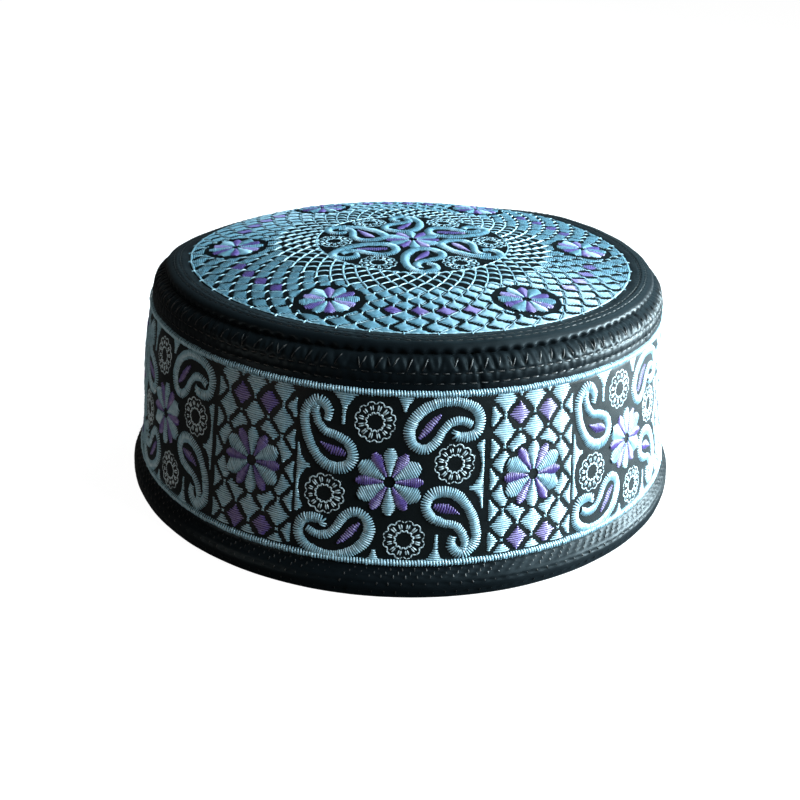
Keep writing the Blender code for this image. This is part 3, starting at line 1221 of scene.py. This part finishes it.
# %% Net, gap threads and knots
def net_threads():
    """Crossing threads of the open net, the thin threads in the narrow gaps, and the rings at both edges."""
    rows = []
    for ring in range(-1, LAST_RING):
        knots = diamond_angles(ring) + HALF_TURN
        low = polar(ring_radius(ring), knots)
        for side in (1.0, -1.0):
            high = polar(ring_radius(ring + 1), knots + side * HALF_TURN)
            start = low + (high - low) * 0.42 if ring == -1 else low
            if ring < NET_RINGS:
                rows.append(stitch_rows(start, high, 0.72 if side > 0 else 0.54, 0.26))
            elif side < 0:
                rows.append(stitch_rows(start, high, 0.34, 0.06))
    for share, thread in ((0.44, 0.55), (0.9965, 0.46)):
        radius = share * PANEL_RADIUS
        count = int(2 * np.pi * radius / 2.6)
        at = np.arange(count) * 360.0 / count
        rows.append(stitch_rows(polar(radius, at), polar(radius, at + 400.0 / count), thread, 0.18))
    return np.vstack(rows)


def crown_knots():
    """Short upright stitches where the corners of four diamonds meet."""
    rows = []
    for ring in range(NET_RINGS, LAST_RING + 1):
        knots = diamond_angles(ring) + HALF_TURN
        radius = ring_radius(ring)
        rows.append(stitch_rows(polar(radius - 1.0, knots), polar(radius + 1.1, knots + 0.25), 0.48, 0.26))
    return np.vstack(rows)


crown_net = np.vstack([net_threads(), crown_knots()])
for x, y in FLOWER_SPOTS:
    crown_net = cut_round(crown_net, x, y, CROWN_HOLE)
print("net stitches:", len(crown_net))

# %% [markdown]
# ## Flowers and the middle of the crown
# Six flowers lie in the diamond round, each with a blue petal towards the middle of the crown. Inside the
# net there is a seventh flower with six paisleys turning round it, and a lace wheel between every two of
# them. A paisley here is written once, for the front, in millimetres, and turned six times.

# %% Crown flowers and middle
CROWN_PAISLEY = [
    (8.5, -23.0), (11.1, -23.7), (11.8, -27.4), (8.9, -30.7), (5.6, -30.0), (3.3, -27.4), (0.7, -20.0),
    (0.8, -14.8), (3.7, -9.3), (7.8, -8.9), (11.5, -11.1), (12.2, -14.8), (10.7, -17.8), (7.4, -20.7),
    (5.6, -23.0), (5.6, -25.9), (7.0, -27.8),
]
CROWN_PAISLEY_WIDTHS = (2.0, 2.8, 3.2, 3.2, 3.0, 3.0, 3.3, 3.5, 3.4, 3.2, 3.0, 2.8, 2.8, 3.0, 2.6)
CROWN_DROP = [(7.0, -11.6), (6.4, -14.4), (5.4, -17.6), (4.2, -21.4)]

paisley = column(CROWN_PAISLEY, CROWN_PAISLEY_WIDTHS, *PAISLEY_STITCH)
drop = column(CROWN_DROP, (1.2, 2.9, 2.6, 1.5, 0.5), 0.66, 0.56, 0.3)
crown_wheel = lace_wheel(6.0)
middle_blue, middle_purple = flower(9.3, 105.0, 3.6)
crown_blue = [middle_blue]
crown_purple = [middle_purple, diamond_purple]
for number, (x, y) in enumerate(FLOWER_SPOTS):
    petal_blue, petal_purple = flower(8.7, FLOWER_ANGLES[number] + 180.0, 3.9)
    crown_blue += [moved(petal_blue, x, y), turned(paisley, 60.0 * number)]
    crown_purple += [moved(petal_purple, x, y), turned(drop, 60.0 * number)]
crown_wheels = [moved(crown_wheel, x, y) for x, y in WHEEL_SPOTS]

# The crown's diamonds and flowers use the darker copy of the pale blue thread, which paints the crown's shade
sew("crown_diamond_stitches", diamond_blue, on_crown, painted_shade_blue_thread, "steel_blue_thread")
sew("crown_flower_stitches", np.vstack(crown_blue), on_crown, painted_shade_blue_thread, "steel_blue_thread")
sew("crown_purple_stitches", np.vstack(crown_purple), on_crown, purple_thread, "purple_thread")
sew("crown_net_threads", crown_net, on_crown, pale_thread, "pale_blue_thread", stations=4)
sew("crown_lace_wheels", np.vstack(crown_wheels), on_crown, pale_thread, "pale_blue_thread", stations=4)

# %% [markdown]
# ## Black sewing
# The rows that hold the padding are sewn with black thread, which shows as small raised ticks in the
# grooves. Below the crown seam a zigzag binds the two borders, with long stitches one way and a few fine
# ones the other. All of it lies on the faces of the borders, so it is laid out along the same sections that
# the borders were turned from.


# %% Sewing on the borders
INSET = 0
HEIGHT = 1


def on_face(outer):
    """Two functions for a border's face: one places stitches, one finds an inset or a height along it."""
    face = rounded(outer, 0.05)
    run = run_along(face)
    heading = np.gradient(face, run, axis=0)
    heading /= np.linalg.norm(heading, axis=1)[:, None]

    def place(along, step, lift):
        inset = np.interp(step, run, face[:, 0]) - lift * np.interp(step, run, heading[:, 1])
        height = np.interp(step, run, face[:, 1]) + lift * np.interp(step, run, heading[:, 0])
        return ring_point(inset, height, angle_at(along))

    def step_at(kind, value):
        return run[np.argmin(np.abs(face[:, kind] - value))]

    return place, step_at


def hole_run(shift, scatter):
    """Lengths along the run where the stitches of a sewing row stand."""
    count = int(RING_ROUND / SEWING_PITCH)
    return (np.arange(count) - shift) * SEWING_PITCH + dice.uniform(-scatter, scatter, count)


def dash_row(step, shift):
    """One row of running stitches along the border, 1.9 mm long."""
    at = hole_run(shift, 0.15)
    wander = dice.uniform(-0.08, 0.08, len(at))
    return stitch_rows(spots(at - 0.95, step + wander), spots(at + 0.95, step - wander), 0.36, 0.10)


def tick_row(step, shift):
    """One row of upright ticks, 0.85 mm tall, one at each needle hole."""
    at = hole_run(shift, 0.12) + SEWING_PITCH / 2
    lean = dice.uniform(-0.12, 0.12, len(at))
    return stitch_rows(spots(at, step - 0.425), spots(at + lean, step + 0.425), 0.34, 0.10)


def row_stitches(rows, kind, step_at, shift, make_row):
    """The stitches of each sewing row of a border, its needle holes shifted as its grooves are."""
    return [make_row(step_at(kind, row), shift * number) for number, row in enumerate(rows)]


on_lower, lower_step = on_face(LOWER_FACE)
on_upper, upper_step = on_face(UPPER_FACE)
on_ring, ring_step = on_face(CROWN_FACE)
print("lower rows along the face, mm:", [round(float(lower_step(HEIGHT, row)), 1) for row in LOWER_ROWS])

# %% Sew the borders
lower_ticks = row_stitches(LOWER_ROWS, HEIGHT, lower_step, LOWER_SHIFT, tick_row)
sew("lower_border_sewing", np.vstack(lower_ticks), on_lower, black_thread, "black_satin", stations=3)

upper_ticks = row_stitches(UPPER_ROWS, HEIGHT, upper_step, UPPER_SHIFT, dash_row)
zigzag_count = int(RING_ROUND / GATHER_PITCH)
zigzag_at = np.arange(zigzag_count) * GATHER_PITCH
zigzag_foot = upper_step(HEIGHT, 62.1)
zigzag_head = upper_step(INSET, 11.6)
for lean, thread, share_seen in ((1.7, 0.40, 0.9), (-1.1, 0.26, 0.35)):
    foot = spots(zigzag_at, zigzag_foot + dice.uniform(-0.3, 0.3, zigzag_count))
    strays = dice.uniform(-0.35, 0.35, zigzag_count)
    head = spots(zigzag_at + lean + strays, zigzag_head + dice.uniform(-0.3, 0.3, zigzag_count))
    seen = dice.random(zigzag_count) < share_seen
    upper_ticks.append(stitch_rows(foot, head, thread, 0.30)[seen])
sew("upper_border_sewing", np.vstack(upper_ticks), on_upper, black_thread, "black_satin")

ring_ticks = row_stitches(CROWN_ROWS, INSET, ring_step, CROWN_SHIFT, dash_row)
sew("crown_border_sewing", np.vstack(ring_ticks), on_ring, black_thread, "black_satin", stations=3)
